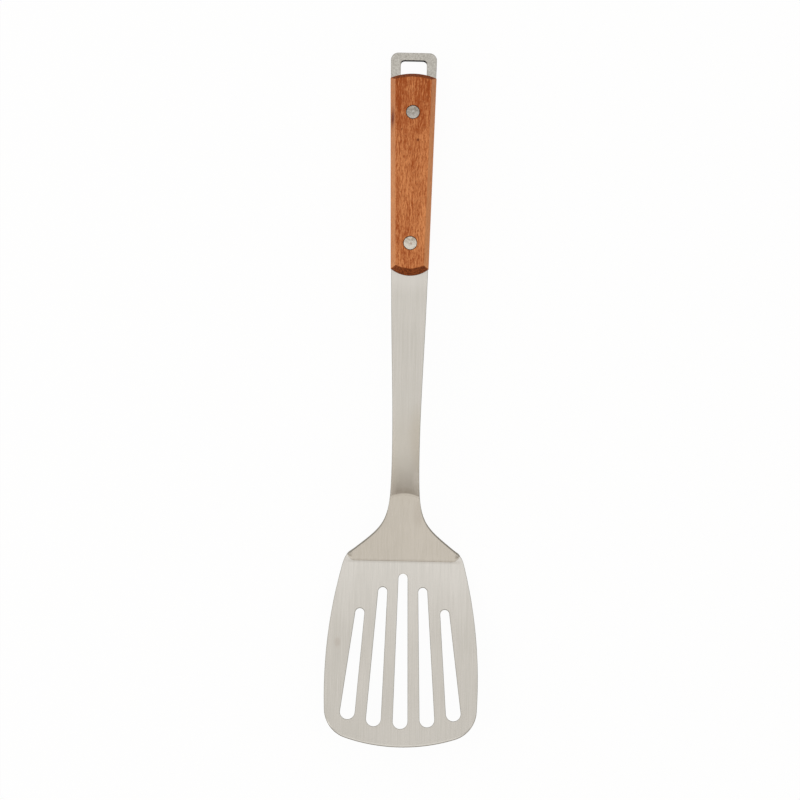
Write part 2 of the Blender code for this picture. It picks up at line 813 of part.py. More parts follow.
def bore_floor():
    """The bore of the tube half ends level with the inner side of its head."""
    return -(SCALE_FACE - RIVET_HEAD_THICKNESS)


def tube_profile():
    """The female half: a tube through tang and scales on a head in the back scale."""
    head = [(out, -SCALE_FACE - up) for out, up in reversed(head_crown())]
    tube_end = SCALE_FACE - RIVET_HEAD_THICKNESS - SEAT_GAP
    tube_radius = RIVET_TUBE_DIAMETER / 2
    bore_radius = RIVET_BORE_DIAMETER / 2
    return [
        (0.0, bore_floor()),
        (bore_radius, bore_floor()),
        (bore_radius, tube_end),
        (tube_radius, tube_end),
        (tube_radius, bore_floor()),
        (RIVET_HEAD_DIAMETER / 2, bore_floor()),
    ] + head


def rivet_cutter(name, along, collection, parent):
    """A spindle that bores both scales for a rivet and sinks both head recesses."""
    recess_floor = SCALE_FACE - RIVET_HEAD_THICKNESS - SEAT_GAP
    recess_radius = RIVET_RECESS_DIAMETER / 2
    hole_radius = RIVET_HOLE_DIAMETER / 2
    clear_of_wood = SCALE_FACE + SCALE_THICKNESS
    profile = [
        (0.0, clear_of_wood),
        (recess_radius, clear_of_wood),
        (recess_radius, recess_floor),
        (hole_radius, recess_floor),
        (hole_radius, -recess_floor),
        (recess_radius, -recess_floor),
        (recess_radius, -clear_of_wood),
        (0.0, -clear_of_wood),
    ]
    grey = principled(name, (0.5, 0.5, 0.5), 0.5, 0.0)
    cutter = turned(name, profile, grey, collection, parent)
    cutter.location.y = handle_y(along)
    cutter.hide_render = True
    cutter.display_type = "WIRE"
    return cutter


def rivet(name, along, collection, parent):
    metal = principled(f"{name}_metal", (0.66, 0.63, 0.58), 0.4, 1.0)
    for half, profile in (("pin", pin_profile()), ("tube", tube_profile())):
        made = turned(f"{name}_{half}", profile, metal, collection, parent)
        made.location.y = handle_y(along)


# Laying the tool down


def laid_out_points(collection):
    """The corners of every piece as (y, z), before the tool is laid down."""
    bpy.context.view_layer.update()
    depsgraph = bpy.context.evaluated_depsgraph_get()
    points = []
    for piece in collection.objects:
        if piece.type == "MESH":
            solid = piece.evaluated_get(depsgraph)
            points += [(solid.matrix_world @ vert.co).yz for vert in solid.data.vertices]
    return points


def touching_points(points, balance):
    """The two lowest points that a table touches, one on each side of the balance point."""
    hull = []
    for point in sorted(points, key=lambda place: (place.x, place.y)):
        while len(hull) > 1 and (hull[-1] - hull[-2]).cross(point - hull[-1]) <= 0:
            hull.pop()
        hull.append(point)
    for near, far in zip(hull, hull[1:]):
        if near.x <= balance <= far.x:
            return near, far
    return hull[0], hull[-1]


def lay_down(tool, collection):
    """Turns and lifts the tool so that it rests on z = 0 with its box centred on the origin."""
    points = laid_out_points(collection)
    balance = handle_y(AT_NECK)
    near, far = touching_points(points, balance)
    tilt = -math.atan2(far.y - near.y, far.x - near.x)
    rotated = [point.x * math.cos(tilt) - point.y * math.sin(tilt) for point in points]
    height = near.x * math.sin(tilt) + near.y * math.cos(tilt)
    tool.rotation_euler.x = tilt
    tool.location.y = -(min(rotated) + max(rotated)) / 2
    tool.location.z = -height


def main():
    clear_scene()
    parts = new_collection("wooden_handled_turner")
    cutting = new_collection("cutters")
    tool = bpy.data.objects.new("tool_line", None)
    parts.objects.link(tool)
    rivets = (("upper_rivet", AT_UPPER_RIVET), ("lower_rivet", AT_LOWER_RIVET))
    cutters = [rivet_cutter(f"{name}_bore", along, cutting, tool) for name, along in rivets]
    steel_turner(parts, tool)
    wooden_scale("front_scale", 1, cutters, parts, tool)
    wooden_scale("back_scale", -1, cutters, parts, tool)
    for name, along in rivets:
        rivet(name, along, parts, tool)
    lay_down(tool, parts)


main()
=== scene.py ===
"""A slotted barbecue turner with a wooden grip on a white floor, seen from straight above."""

import json
import math

import bpy
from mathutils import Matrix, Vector

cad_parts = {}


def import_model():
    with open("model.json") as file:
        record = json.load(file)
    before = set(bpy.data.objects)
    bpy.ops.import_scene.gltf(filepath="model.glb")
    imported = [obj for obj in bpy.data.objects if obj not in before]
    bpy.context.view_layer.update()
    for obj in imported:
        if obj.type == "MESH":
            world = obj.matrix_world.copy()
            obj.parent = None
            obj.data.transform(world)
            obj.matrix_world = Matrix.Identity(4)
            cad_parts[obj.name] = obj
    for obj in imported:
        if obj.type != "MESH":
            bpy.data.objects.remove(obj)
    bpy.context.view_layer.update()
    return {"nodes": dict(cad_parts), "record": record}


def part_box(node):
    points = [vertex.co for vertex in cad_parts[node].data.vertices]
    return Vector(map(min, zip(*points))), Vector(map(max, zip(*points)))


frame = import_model()

MM = 0.001

# Camera, straight above the turner
CAMERA_PLACE = (-4.5 * MM, -1.0 * MM, 1600 * MM)
CAMERA_ROLL = math.radians(1.21)
LENS = 108.3
SENSOR = 36.0

# Soft lamps: where they hang, what they point at, width and depth, brightness and colour
MIDDLE = (0.0, 0.0, 0.0)
WHITE_LIGHT = (1.0, 1.0, 1.0)
COOL_LIGHT = (0.86, 0.92, 1.0)
LAMPS = {
    "overhead": ((0.0, 0.30, 1.50), (0.0, 0.30, 0.0), (2.2, 0.74), 0.62, COOL_LIGHT),
    "front_top": ((0.0, -0.77, 1.29), MIDDLE, (2.2, 1.03), 0.43, WHITE_LIGHT),
    "left_key": ((-1.40, 0.10, 0.80), MIDDLE, (2.4, 1.3), 1.20, WHITE_LIGHT),
    "right_fill": ((1.40, 0.10, 0.80), MIDDLE, (2.4, 1.3), 0.60, WHITE_LIGHT),
    "far_fill": ((0.0, 1.30, 1.00), MIDDLE, (1.6, 0.80), 0.90, WHITE_LIGHT),
    "near_fill": ((0.0, -1.44, 0.70), MIDDLE, (2.4, 0.90), 0.53, WHITE_LIGHT),
}
SKY_LEVEL = 0.42
SKY_COLOUR = (1.0, 0.90, 0.78, 1.0)

# Floor, and how much of its look to the camera and in the metal is a plain white glow
FLOOR_HALF_WIDTH = 30.0
FLOOR_COLOUR = (0.92, 0.92, 0.92, 1.0)
FLOOR_ROUGHNESS = 0.9
WHITE_GLOW = 1.0
GLOW_SHARE = 0.95

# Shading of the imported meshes: the weld of their triangles and the angle of a sharp edge
WELD = 0.001 * MM
SHARP = math.radians(28.0)

# The sheet: its front edge, its thickness, and the tilt of its tang, whose loop end is lower
FRONT_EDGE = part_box("steel_turner")[0].y
SHEET_THICKNESS = 2.0 * MM
TANG_TILT = math.radians(5.5)

# The two values of a noise, or of a tone made of several noises, between which a look changes
NOISE_RANGE = (0.3, 0.7)
TONE_RANGE = (0.38, 0.62)

# Noises of the steel: size across, along and through the sheet, levels of detail, roughness
BRUSH_LINE = ((0.35 * MM, 60 * MM, 5 * MM), 4.0, 0.6)
BRUSH_BAND = ((4 * MM, 90 * MM, 30 * MM), 2.0, 0.55)
STEEL_CLOUD = ((30 * MM, 45 * MM, 30 * MM), 2.0, 0.55)
LOOP_MOTTLE = ((1.2 * MM, 1.2 * MM, 1.2 * MM), 4.0, 0.7)

# Brushed steel. The weights are those of its lines, bands and clouds
STEEL_TONE_WEIGHTS = (0.6, 0.15, 0.25)
STEEL_DARK = (0.57, 0.542, 0.49, 1.0)
STEEL_LIGHT = (0.637, 0.607, 0.555, 1.0)
BRUSHED_ROUGHNESS = (0.20, 0.27)
BRUSH_DEPTH = 0.008 * MM
BRUSHED_ALONG = (0.0, 1.0, 0.0)
ANISOTROPY = 0.95

# Unbrushed steel of the hanging loop, from a little way in under the wood
LOOP_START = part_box("front_scale")[1].y - 4 * MM
LOOP_FADE = 2 * MM
LOOP_DARK = (0.54, 0.53, 0.495, 1.0)
LOOP_LIGHT = (0.80, 0.80, 0.76, 1.0)
LOOP_ROUGHNESS = (0.36, 0.48)
LOOP_MOTTLE_DEPTH = 0.03 * MM
LOOP_MOTTLE_STRENGTH = 0.6

# The blade, told from the shoulder by where its faces look, gets a painted highlight that grows
# towards its heel
BLADE_FACING = (-0.1, 0.1)
HEEL_HIGHLIGHT = (FRONT_EDGE + 60 * MM, FRONT_EDGE + 135 * MM)
PAST_HEEL = (FRONT_EDGE + 135 * MM, FRONT_EDGE + 150 * MM)
HEEL_LIGHTER = (1.14, 1.15, 1.17, 1.0)

# A soft shade along the straight part of the heel crease: how near to it, how far from the middle
HEEL_CREASE = FRONT_EDGE + 120.6 * MM
HEEL_SHADE_NEAR = (0.2 * MM, 1.6 * MM)
HEEL_SHADE_ASIDE = (34 * MM, 40 * MM)
HEEL_DARKER = (0.88, 0.87, 0.86, 1.0)

# The front edge is ground from above. How deep the painted shade of the rim below it starts, at the
# side and in front
FRONT_FACING = (-0.15, -0.02)
GROUND_ZONE = (FRONT_EDGE + 30 * MM, FRONT_EDGE + 40 * MM)
GROUND_FADE = math.radians(60.0)
GROUND_STEEL = (0.73, 0.725, 0.70, 1.0)
GROUND_ROUGHNESS = 0.32
RIM_SHADE_DEPTH = (-0.05 * MM, 0.55 * MM)
RIM_SHADE_SOFTNESS = 0.05 * MM

# The rims of the sheet, where it was sheared and deburred, told by where their faces look.
# Their dark colour is a painted shade
RIM_ASIDE = (0.30, 0.45)
RIM_UPWARD = (0.84, 0.90)
CURL_FACING = (-0.35, -0.20)
SHOULDER = (FRONT_EDGE + 111 * MM, FRONT_EDGE + 171 * MM)
SHOULDER_FADE = 3 * MM
PAINTED_RIM_SHADE = (0.34, 0.32, 0.28, 1.0)
RIM_ROUGHNESS = 0.5

# Painted shade, nearly black, at the far edge of the loop's window: how far it reaches onto the
# face, and the window's shape
WINDOW_FACING = (-0.5, -0.2)
WINDOW_SHADE = (0.02, 0.02, 0.02, 1.0)
WINDOW_SHADE_REACH = (0.55 * MM, 0.70 * MM)
WINDOW_HALF_STRAIGHT = 6.05 * MM
WINDOW_CORNER_RADIUS = 2.6 * MM

# A soft mark is full up to this share of its half size. One of this depth goes through a piece
MARK_CORE = 0.3
THROUGH = 400 * MM

# Marks on the steel: centre, half size, colour and how strong. The first is a smudge and the third
# a lighter patch below the grip. The others are painted: a painted shade on the shoulder, a warm
# painted reflection and a warm painted shade on the shank, and a painted shade and highlight at its
# end
SMUDGE = (0.42, 0.35, 0.29, 1.0)
SHADE = (0.50, 0.46, 0.41, 1.0)
BRIGHT = (0.73, 0.70, 0.65, 1.0)
WARM = (0.585, 0.545, 0.47, 1.0)
WARM_SHADE = (0.535, 0.482, 0.398, 1.0)
STEEL_MARKS = (
    ((-42.4 * MM, -161.5 * MM, 12 * MM), (3 * MM, 4.5 * MM, 12 * MM), SMUDGE, 0.28),
    ((9 * MM, -75 * MM, 20 * MM), (5 * MM, 14 * MM, 40 * MM), SHADE, 0.35),
    ((0.0, 84 * MM, 22 * MM), (40 * MM, 18 * MM, 20 * MM), BRIGHT, 0.45),
    ((0.0, -35 * MM, 18 * MM), (40 * MM, 40 * MM, 30 * MM), WARM, 0.6),
    ((7 * MM, -24 * MM, 18 * MM), (8 * MM, 28 * MM, 30 * MM), WARM_SHADE, 0.5),
    ((-6 * MM, -59 * MM, 16 * MM), (6 * MM, 7 * MM, 30 * MM), SHADE, 0.6),
    ((7.5 * MM, -53 * MM, 16 * MM), (5 * MM, 9 * MM, 30 * MM), BRIGHT, 0.6),
)

# Noises of the wood: size across, along and through the grip, levels of detail, roughness
GRAIN_WAVE = ((9 * MM, 22 * MM, 9 * MM), 2.0, 0.55)
FIBRE = ((0.35 * MM, 3.2 * MM, 0.5 * MM), 2.0, 0.6)
STREAK = ((1.1 * MM, 16 * MM, 1.5 * MM), 2.0, 0.6)
MOTTLE = ((0.5 * MM, 1.0 * MM, 0.5 * MM), 2.0, 0.55)
GRAIN_BAND = ((5 * MM, 60 * MM, 6 * MM), 2.0, 0.55)
END_GRAIN = ((1.0 * MM, 1.0 * MM, 1.0 * MM), 3.0, 0.55)

# The slow wave in the grain: its middle value, and how far it moves the grain sideways
WAVE_MIDDLE = 0.5
GRAIN_WAVER = 3.0 * MM

# Wood of the grip. The weights are those of fibres, streaks, mottles, bands and the end at the loop
WOOD_TONE_WEIGHTS = (0.46, 0.22, 0.16, 0.16, -0.05)
DARKER_WOOD = (150 * MM, 195 * MM)
WOOD_DARK = (0.315, 0.062, 0.0092, 1.0)
WOOD_LIGHT = (0.70, 0.282, 0.104, 1.0)
WOOD_ROUGHNESS = (0.60, 0.48)
WOOD_SPECULAR = 0.12
FIBRE_DEPTH = 0.04 * MM

# Pores in the wood: spacing, where each is full and where it ends, how dark and how deep
PORE_SPACING = (0.8 * MM, 3.2 * MM, 0.8 * MM)
PORE_SIZE = (0.12, 0.28)
WOOD_PORE = (0.16, 0.03, 0.006, 1.0)
PORE_SHARE = 0.5
PORE_DEPTH = 1.5

# Long edges of the grip, worn lighter and with a painted sheen, and its end grain, told by where
# their faces look
FACET_ASIDE = (0.5, 0.8)
FACET_WEAR_AND_SHEEN = (0.61, 0.29, 0.125, 1.0)
FACET_SHARE = 0.5
END_FACING = (0.35, 0.6)
END_DOTS = (0.35, 0.65)
END_DARK = (0.10, 0.019, 0.0022, 1.0)
END_LIGHT = (0.31, 0.076, 0.017, 1.0)
END_ROUGHNESS = 0.8

# Dark marks in the front scale only, ending softly at the seam: centre, half size and how dark
SEAM_SOFTNESS = 0.5 * MM
BLEMISHES = (
    ((-13.2 * MM, 182 * MM, 0.0), (2.0 * MM, 12 * MM, THROUGH), 0.45),
    ((-13.2 * MM, 182 * MM, 0.0), (1.2 * MM, 6 * MM, THROUGH), 0.95),
    ((3.7 * MM, 167.1 * MM, 0.0), (1.3 * MM, 1.3 * MM, THROUGH), 0.9),
    ((-7.0 * MM, 174 * MM, 0.0), (0.8 * MM, 0.9 * MM, THROUGH), 0.6),
    ((-11.2 * MM, 205.5 * MM, 0.0), (1.4 * MM, 2.2 * MM, THROUGH), 0.35),
)

# Noises of the rivets: size, levels of detail, roughness
RIVET_GRAIN = ((0.7 * MM, 0.7 * MM, 0.7 * MM), 4.0, 0.65)
RIVET_PATCH = ((1.6 * MM, 1.6 * MM, 1.6 * MM), 2.0, 0.55)

# Rivets, of which the one near the loop is darker and greyer
RIVET_TONE_WEIGHTS = (0.6, 0.4)
RIVET_TONE_RANGE = (0.36, 0.64)
RIVET_DARK = (0.56, 0.51, 0.44, 1.0)
RIVET_LIGHT = (0.84, 0.80, 0.71, 1.0)
RIVET_ROUGHNESS = (0.24, 0.34)
RIVET_GRAIN_DEPTH = 0.015 * MM
RIVET_GREYING_ZONE = (110 * MM, 180 * MM)
RIVET_GREYING = (0.70, 0.71, 0.74, 1.0)

# A small stain near the middle of each rivet: how far off it, half size, colour and how strong
RIVET_STAINS = (
    ("upper_rivet_pin", (0.6 * MM, -0.4 * MM, 0.0), 0.8 * MM, (0.22, 0.21, 0.19, 1.0), 0.5),
    ("lower_rivet_pin", (0.4 * MM, -0.2 * MM, 0.0), 1.2 * MM, (0.42, 0.25, 0.17, 1.0), 0.5),
)

# Sockets of a mix node, for numbers and for colours: both inputs and the output
MIX_NUMBERS = (2, 3, 0)
MIX_COLOURS = (6, 7, 2)


# Smooth shading of the faceted solids


def smooth_by_angle():
    """A modifier tree that welds the loose triangles and smooths all but the sharp edges."""
    tree = bpy.data.node_groups.new("smooth_by_angle", "GeometryNodeTree")
    tree.interface.new_socket("Geometry", in_out="INPUT", socket_type="NodeSocketGeometry")
    tree.interface.new_socket("Geometry", in_out="OUTPUT", socket_type="NodeSocketGeometry")
    nodes, links = tree.nodes, tree.links
    start = nodes.new("NodeGroupInput")
    loose = nodes.new("GeometryNodeRemoveAttribute")
    loose.inputs["Name"].default_value = "custom_normal"
    weld = nodes.new("GeometryNodeMergeByDistance")
    weld.inputs["Distance"].default_value = WELD
    faces = nodes.new("GeometryNodeSetShadeSmooth")
    angle = nodes.new("GeometryNodeInputMeshEdgeAngle")
    gentle = nodes.new("FunctionNodeCompare")
    gentle.operation = "LESS_EQUAL"
    gentle.inputs["B"].default_value = SHARP
    edges = nodes.new("GeometryNodeSetShadeSmooth")
    edges.domain = "EDGE"
    end = nodes.new("NodeGroupOutput")
    links.new(start.outputs[0], loose.inputs["Geometry"])
    links.new(loose.outputs["Geometry"], weld.inputs["Geometry"])
    links.new(weld.outputs["Geometry"], faces.inputs["Geometry"])
    links.new(faces.outputs["Geometry"], edges.inputs["Geometry"])
    links.new(angle.outputs["Unsigned Angle"], gentle.inputs["A"])
    links.new(gentle.outputs["Result"], edges.inputs["Shade Smooth"])
    links.new(edges.outputs["Geometry"], end.inputs[0])
    return tree


# Material helpers


class Shading:
    """The node tree of one material, with a short call for each kind of node."""

    def __init__(self, name):
        self.material = bpy.data.materials.new(name)
        self.material.use_nodes = True
        self.tree = self.material.node_tree
        self.shader = self.tree.nodes["Principled BSDF"]

    def put(self, node, socket, value):
        """Links a socket to another one, or sets it to a value."""
        if isinstance(value, bpy.types.NodeSocket):
            self.tree.links.new(value, node.inputs[socket])
        else:
            node.inputs[socket].default_value = value

    def set(self, node, **values):
        """Fills sockets by their names, in which an underscore stands for a space."""
        for name, value in values.items():
            self.put(node, name.replace("_", " "), value)
        return node

    def new(self, kind, **values):
        """A new node with its sockets filled."""
        return self.set(self.tree.nodes.new(kind), **values)

    def place(self):
        """The place on the object, in metres."""
        return self.new("ShaderNodeTexCoord").outputs["Object"]

    def normal(self):
        """Where the surface looks, smoothed where its shading is."""
        return self.new("ShaderNodeNewGeometry").outputs["Normal"]

    def part(self, vector, axis):
        """The part of a vector along one axis."""
        return self.new("ShaderNodeSeparateXYZ", Vector=vector).outputs[axis]

    def unsigned(self, vector, axis):
        """The part of a vector along one axis, without its sign."""
        return self.math("ABSOLUTE", self.part(vector, axis))

    def vector(self, operation, first, second=(0.0, 0.0, 0.0)):
        node = self.tree.nodes.new("ShaderNodeVectorMath")
        node.operation = operation
        self.put(node, 0, first)
        self.put(node, 1, second)
        scalar = operation in ("DOT_PRODUCT", "LENGTH")
        return node.outputs["Value" if scalar else "Vector"]

    def math(self, operation, first, second=0.0, third=0.0, clamp=False):
        node = self.tree.nodes.new("ShaderNodeMath")
        node.operation = operation
        node.use_clamp = clamp
        for index, value in enumerate((first, second, third)):
            self.put(node, index, value)
        return node.outputs[0]

    def times(self, first, second):
        return self.math("MULTIPLY", first, second)

    def outside(self, share):
        """1 where the share is 0, and 0 where it is 1."""
        return self.math("SUBTRACT", 1.0, share)

    def turned(self, vector, angle):
        """The vector turned about X, so that its Y runs along the tang."""
        node = self.new("ShaderNodeVectorRotate", Vector=vector, Angle=angle)
        node.rotation_type = "X_AXIS"
        return node.outputs["Vector"]

    def noise(self, vector, size, detail, roughness):
        """Noise of a given feature size along each axis, in metres, from 0 to 1."""
        node = self.new(
            "ShaderNodeTexNoise",
            Vector=self.vector("DIVIDE", vector, size),
            Scale=1.0,
            Detail=detail,
            Roughness=roughness,
        )
        return node.outputs["Fac"]

    def spread(self, value, low, high, start=0.0, end=1.0):
        """Start below the low value, end above the high one, and smooth in between."""
        node = self.tree.nodes.new("ShaderNodeMapRange")
        node.interpolation_type = "SMOOTHSTEP"
        self.set(node, Value=value, From_Min=low, From_Max=high, To_Min=start, To_Max=end)
        return node.outputs["Result"]

    def fade(self, value, low, high):
        """1 below the low value, and 0 above the high one."""
        return self.spread(value, low, high, 1.0, 0.0)

    def join(self, node, sockets, share, first, second):
        """What a mix node gives, once its share and its two inputs are filled."""
        first_socket, second_socket, result = sockets
        self.put(node, 0, share)
        self.put(node, first_socket, first)
        self.put(node, second_socket, second)
        return node.outputs[result]

    def blend(self, share, first, second):
        """A number between two others."""
        return self.join(self.tree.nodes.new("ShaderNodeMix"), MIX_NUMBERS, share, first, second)

    def mix(self, share, first, second, mode="MIX"):
        """A colour between two others, or a share of the second blended with the first."""
        node = self.tree.nodes.new("ShaderNodeMix")
        node.data_type = "RGBA"
        node.blend_type = mode
        return self.join(node, MIX_COLOURS, share, first, second)

    def total(self, values, weights):
        """The sum of the values, each times its weight."""
        result = 0.0
        for value, weight in zip(values, weights):
            result = self.math("MULTIPLY_ADD", value, weight, result)
        return result

    def mark(self, colour, place, centre, size, tint, share):
        """The colour with a soft round mark on it, of the given half size along each axis."""
        offset = self.vector("DIVIDE", self.vector("SUBTRACT", place, centre), size)
        spot = self.fade(self.vector("LENGTH", offset), MARK_CORE, 1.0)
        return self.mix(self.times(spot, share), colour, tint)

    def flecks(self, vector, spacing, full, none):
        """Small specks, one for each cell of the given size: 1 inside and 0 between them."""
        scaled = self.vector("DIVIDE", vector, spacing)
        cells = self.new("ShaderNodeTexVoronoi", Vector=scaled, Scale=1.0)
        return self.fade(cells.outputs["Distance"], full, none)

    def bump(self, height, distance, **values):
        """The normal, disturbed by a relief of the given depth."""
        node = self.new("ShaderNodeBump", Height=height, Distance=distance, **values)
        return node.outputs["Normal"]


# Steel


def face_of_sheet(mount):
    """The direction from a flat face that the record names into the sheet, and where it lies."""
    row = next(row for row in frame["record"]["mounts"] if row["name"] == mount)
    inward = -Vector(row["axis"])
    return inward, inward.dot(Vector(row["pos_m"]))


def heel_highlight(made, place, normal):
    """A painted highlight, growing along the blade to its heel crease, 0 on the shoulder and the
    shank.
    """
    along = made.part(place, "Y")
    flat = made.spread(made.part(normal, "Y"), *BLADE_FACING)
    grown = made.times(flat, made.spread(along, *HEEL_HIGHLIGHT))
    return made.times(grown, made.fade(along, *PAST_HEEL))


def heel_shade(made, place, normal):
    """1 on the blade right in front of the straight part of the heel crease."""
    flat = made.spread(made.part(normal, "Y"), *BLADE_FACING)
    away = made.math("ABSOLUTE", made.math("SUBTRACT", made.part(place, "Y"), HEEL_CREASE))
    near = made.times(flat, made.fade(away, *HEEL_SHADE_NEAR))
    return made.times(near, made.fade(made.unsigned(place, "X"), *HEEL_SHADE_ASIDE))


def ground_edge(made, place, normal):
    """Shares on the rim of the front edge: all of it, its ground upper part, and how light that is.

    The ground part is widest where the rim faces the front, and fades out round the corners,
    where it faces aside. Below it the rim keeps its painted shade.
    """
    up, underside = face_of_sheet("blade_underside")
    facing_front = made.vector("DOT_PRODUCT", normal, Vector((0.0, -up.z, up.y)))
    turned = made.math("ARCTAN2", facing_front, made.unsigned(normal, "X"))
    share = made.spread(turned, 0.0, GROUND_FADE)

    height = made.vector("DOT_PRODUCT", place, up)
    depth = made.math("SUBTRACT", underside + SHEET_THICKNESS, height)
    # Below this depth the rim keeps its painted shade
    past_rim_shade = made.math("SUBTRACT", depth, made.blend(share, *RIM_SHADE_DEPTH))
    above_rim_shade = made.fade(past_rim_shade, -RIM_SHADE_SOFTNESS, RIM_SHADE_SOFTNESS)

    in_front = made.fade(made.part(place, "Y"), *GROUND_ZONE)
    rim = made.times(made.fade(made.part(normal, "Y"), *FRONT_FACING), in_front)
    ground = made.times(rim, above_rim_shade)
    return rim, ground, made.times(ground, share)


def sheet_rim(made, place, normal):
    """1 on the rims of the sheet: faces that lean sideways, or off the flat away from the shoulder.

    The heel crease curls up to the rims. Its faces lean sideways too, but they face the blade.
    """
    along = made.part(place, "Y")
    start, end = SHOULDER
    past_start = made.spread(along, start - SHOULDER_FADE, start)
    past_end = made.spread(along, end, end + SHOULDER_FADE)
    shoulder = made.math("SUBTRACT", past_start, past_end)
    curl = made.times(shoulder, made.fade(made.part(normal, "Y"), *CURL_FACING))
    aside = made.spread(made.unsigned(normal, "X"), *RIM_ASIDE)
    aside = made.times(aside, made.outside(curl))
    leaning = made.fade(made.unsigned(normal, "Z"), *RIM_UPWARD)
    leaning = made.times(leaning, made.outside(shoulder))
    return made.math("MAXIMUM", aside, leaning)


def beyond_window(made, place):
    """1 on the loop's face close to the far edge of its window, fading out along the sides, for
    painted shade.
    """
    beyond, far_edge = face_of_sheet("hook_seat")
    corner_centres = far_edge - WINDOW_CORNER_RADIUS
    along = made.math("SUBTRACT", made.vector("DOT_PRODUCT", place, beyond), corner_centres)
    aside = made.math("SUBTRACT", made.unsigned(place, "X"), WINDOW_HALF_STRAIGHT)
    offset = made.new(
        "ShaderNodeCombineXYZ",
        X=made.math("MAXIMUM", aside, 0.0),
        Y=made.math("MAXIMUM", along, 0.0),
    )
    distance = made.vector("LENGTH", offset.outputs["Vector"])
    away = made.math("SUBTRACT", distance, WINDOW_CORNER_RADIUS)
    near = made.fade(away, *WINDOW_SHADE_REACH)
    return made.times(near, made.spread(along, 0.0, WINDOW_CORNER_RADIUS))


def brushed_colour(made, place, normal, lines):
    """Lengthwise lines, bands and clouds, painted highlight and shade at the heel, a smudge and
    painted reflections.
    """
    bands = made.noise(place, *BRUSH_BAND)
    clouds = made.noise(place, *STEEL_CLOUD)
    tone = made.total((lines, bands, clouds), STEEL_TONE_WEIGHTS)
    colour = made.mix(made.spread(tone, *TONE_RANGE), STEEL_DARK, STEEL_LIGHT)
    # A painted highlight towards the heel, and a painted shade at the heel crease
    colour = made.mix(heel_highlight(made, place, normal), colour, HEEL_LIGHTER, "MULTIPLY")
    colour = made.mix(heel_shade(made, place, normal), colour, HEEL_DARKER, "MULTIPLY")
    # A smudge, a lighter patch, and painted shade and painted reflections
    for centre, size, tint, share in STEEL_MARKS:
        colour = made.mark(colour, place, centre, size, tint, share)
    return colour


def brushed_steel():
    """Sheet steel brushed along the tool, mottled at the hanging loop, with painted shade at its
    rims.
    """
    made = Shading("brushed_steel")
    place = made.place()
    normal = made.normal()
    lines = made.noise(place, *BRUSH_LINE)
    grain = made.noise(place, *LOOP_MOTTLE)
    at_loop = made.spread(made.part(place, "Y"), LOOP_START - LOOP_FADE, LOOP_START)

    mottled = made.mix(made.spread(grain, *NOISE_RANGE), LOOP_DARK, LOOP_LIGHT)
    colour = made.mix(at_loop, brushed_colour(made, place, normal, lines), mottled)
    line_roughness = made.spread(lines, *NOISE_RANGE, *BRUSHED_ROUGHNESS)
    mottle_roughness = made.spread(grain, *NOISE_RANGE, *LOOP_ROUGHNESS)
    roughness = made.blend(at_loop, line_roughness, mottle_roughness)

    front, ground, light = ground_edge(made, place, normal)
    colour = made.mix(light, colour, GROUND_STEEL)
    roughness = made.blend(ground, roughness, GROUND_ROUGHNESS)

    # Black painted shade on the loop's faces towards the blade and beyond its window
    beyond = beyond_window(made, place)
    facing_blade = made.fade(made.part(normal, "Y"), *WINDOW_FACING)
    window_shade = made.math("MAXIMUM", made.times(at_loop, facing_blade), beyond)
    # Painted shade on the rims of the sheet
    rim = made.math("MAXIMUM", sheet_rim(made, place, normal), front)
    rim = made.math("MAXIMUM", made.times(rim, made.outside(ground)), beyond)
    colour = made.mix(rim, colour, made.mix(window_shade, PAINTED_RIM_SHADE, WINDOW_SHADE))
    roughness = made.blend(rim, roughness, RIM_ROUGHNESS)

    strength = made.times(at_loop, LOOP_MOTTLE_STRENGTH)
    relief = made.bump(lines, BRUSH_DEPTH)
    relief = made.bump(grain, LOOP_MOTTLE_DEPTH, Strength=strength, Normal=relief)
    made.set(
        made.shader,
        Base_Color=colour,
        Roughness=roughness,
        Metallic=1.0,
        Anisotropic=ANISOTROPY,
        Tangent=made.vector("CROSS_PRODUCT", normal, BRUSHED_ALONG),
        Normal=relief,
    )
    return made.material


# Wood


def grip_middle():
    """The height of the plane between the two scales, square to it."""
    corners = (*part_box("front_scale"), *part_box("back_scale"))
    middle = sum(corners, Vector()) / len(corners)
    return middle.y * math.sin(TANG_TILT) + middle.z * math.cos(TANG_TILT)


def wavy(made, place):
    """The place, moved a little sideways by a slow wave, for grain that isn't quite straight."""
    wave = made.math("SUBTRACT", made.noise(place, *GRAIN_WAVE), WAVE_MIDDLE)
    shift = made.new("ShaderNodeCombineXYZ", X=made.times(wave, GRAIN_WAVER))
    return made.vector("ADD", place, shift.outputs["Vector"])


def grain_colour(made, place, grain, fibres):
    """Fibres, streaks, mottles and bands along the grain, a little darker towards the loop."""
    streaks = made.noise(grain, *STREAK)
    mottles = made.noise(grain, *MOTTLE)
    bands = made.noise(grain, *GRAIN_BAND)
    darker = made.spread(made.part(place, "Y"), *DARKER_WOOD)
    tone = made.total((fibres, streaks, mottles, bands, darker), WOOD_TONE_WEIGHTS)
    return made.mix(made.spread(tone, *TONE_RANGE), WOOD_DARK, WOOD_LIGHT)


def blemished(made, colour, place):
    """The colour with the dark marks of the front scale."""
    middle = grip_middle()
    in_front = made.spread(made.part(place, "Z"), middle - SEAM_SOFTNESS, middle + SEAM_SOFTNESS)
    for centre, size, share in BLEMISHES:
        colour = made.mark(colour, place, centre, size, WOOD_PORE, made.times(in_front, share))
    return colour


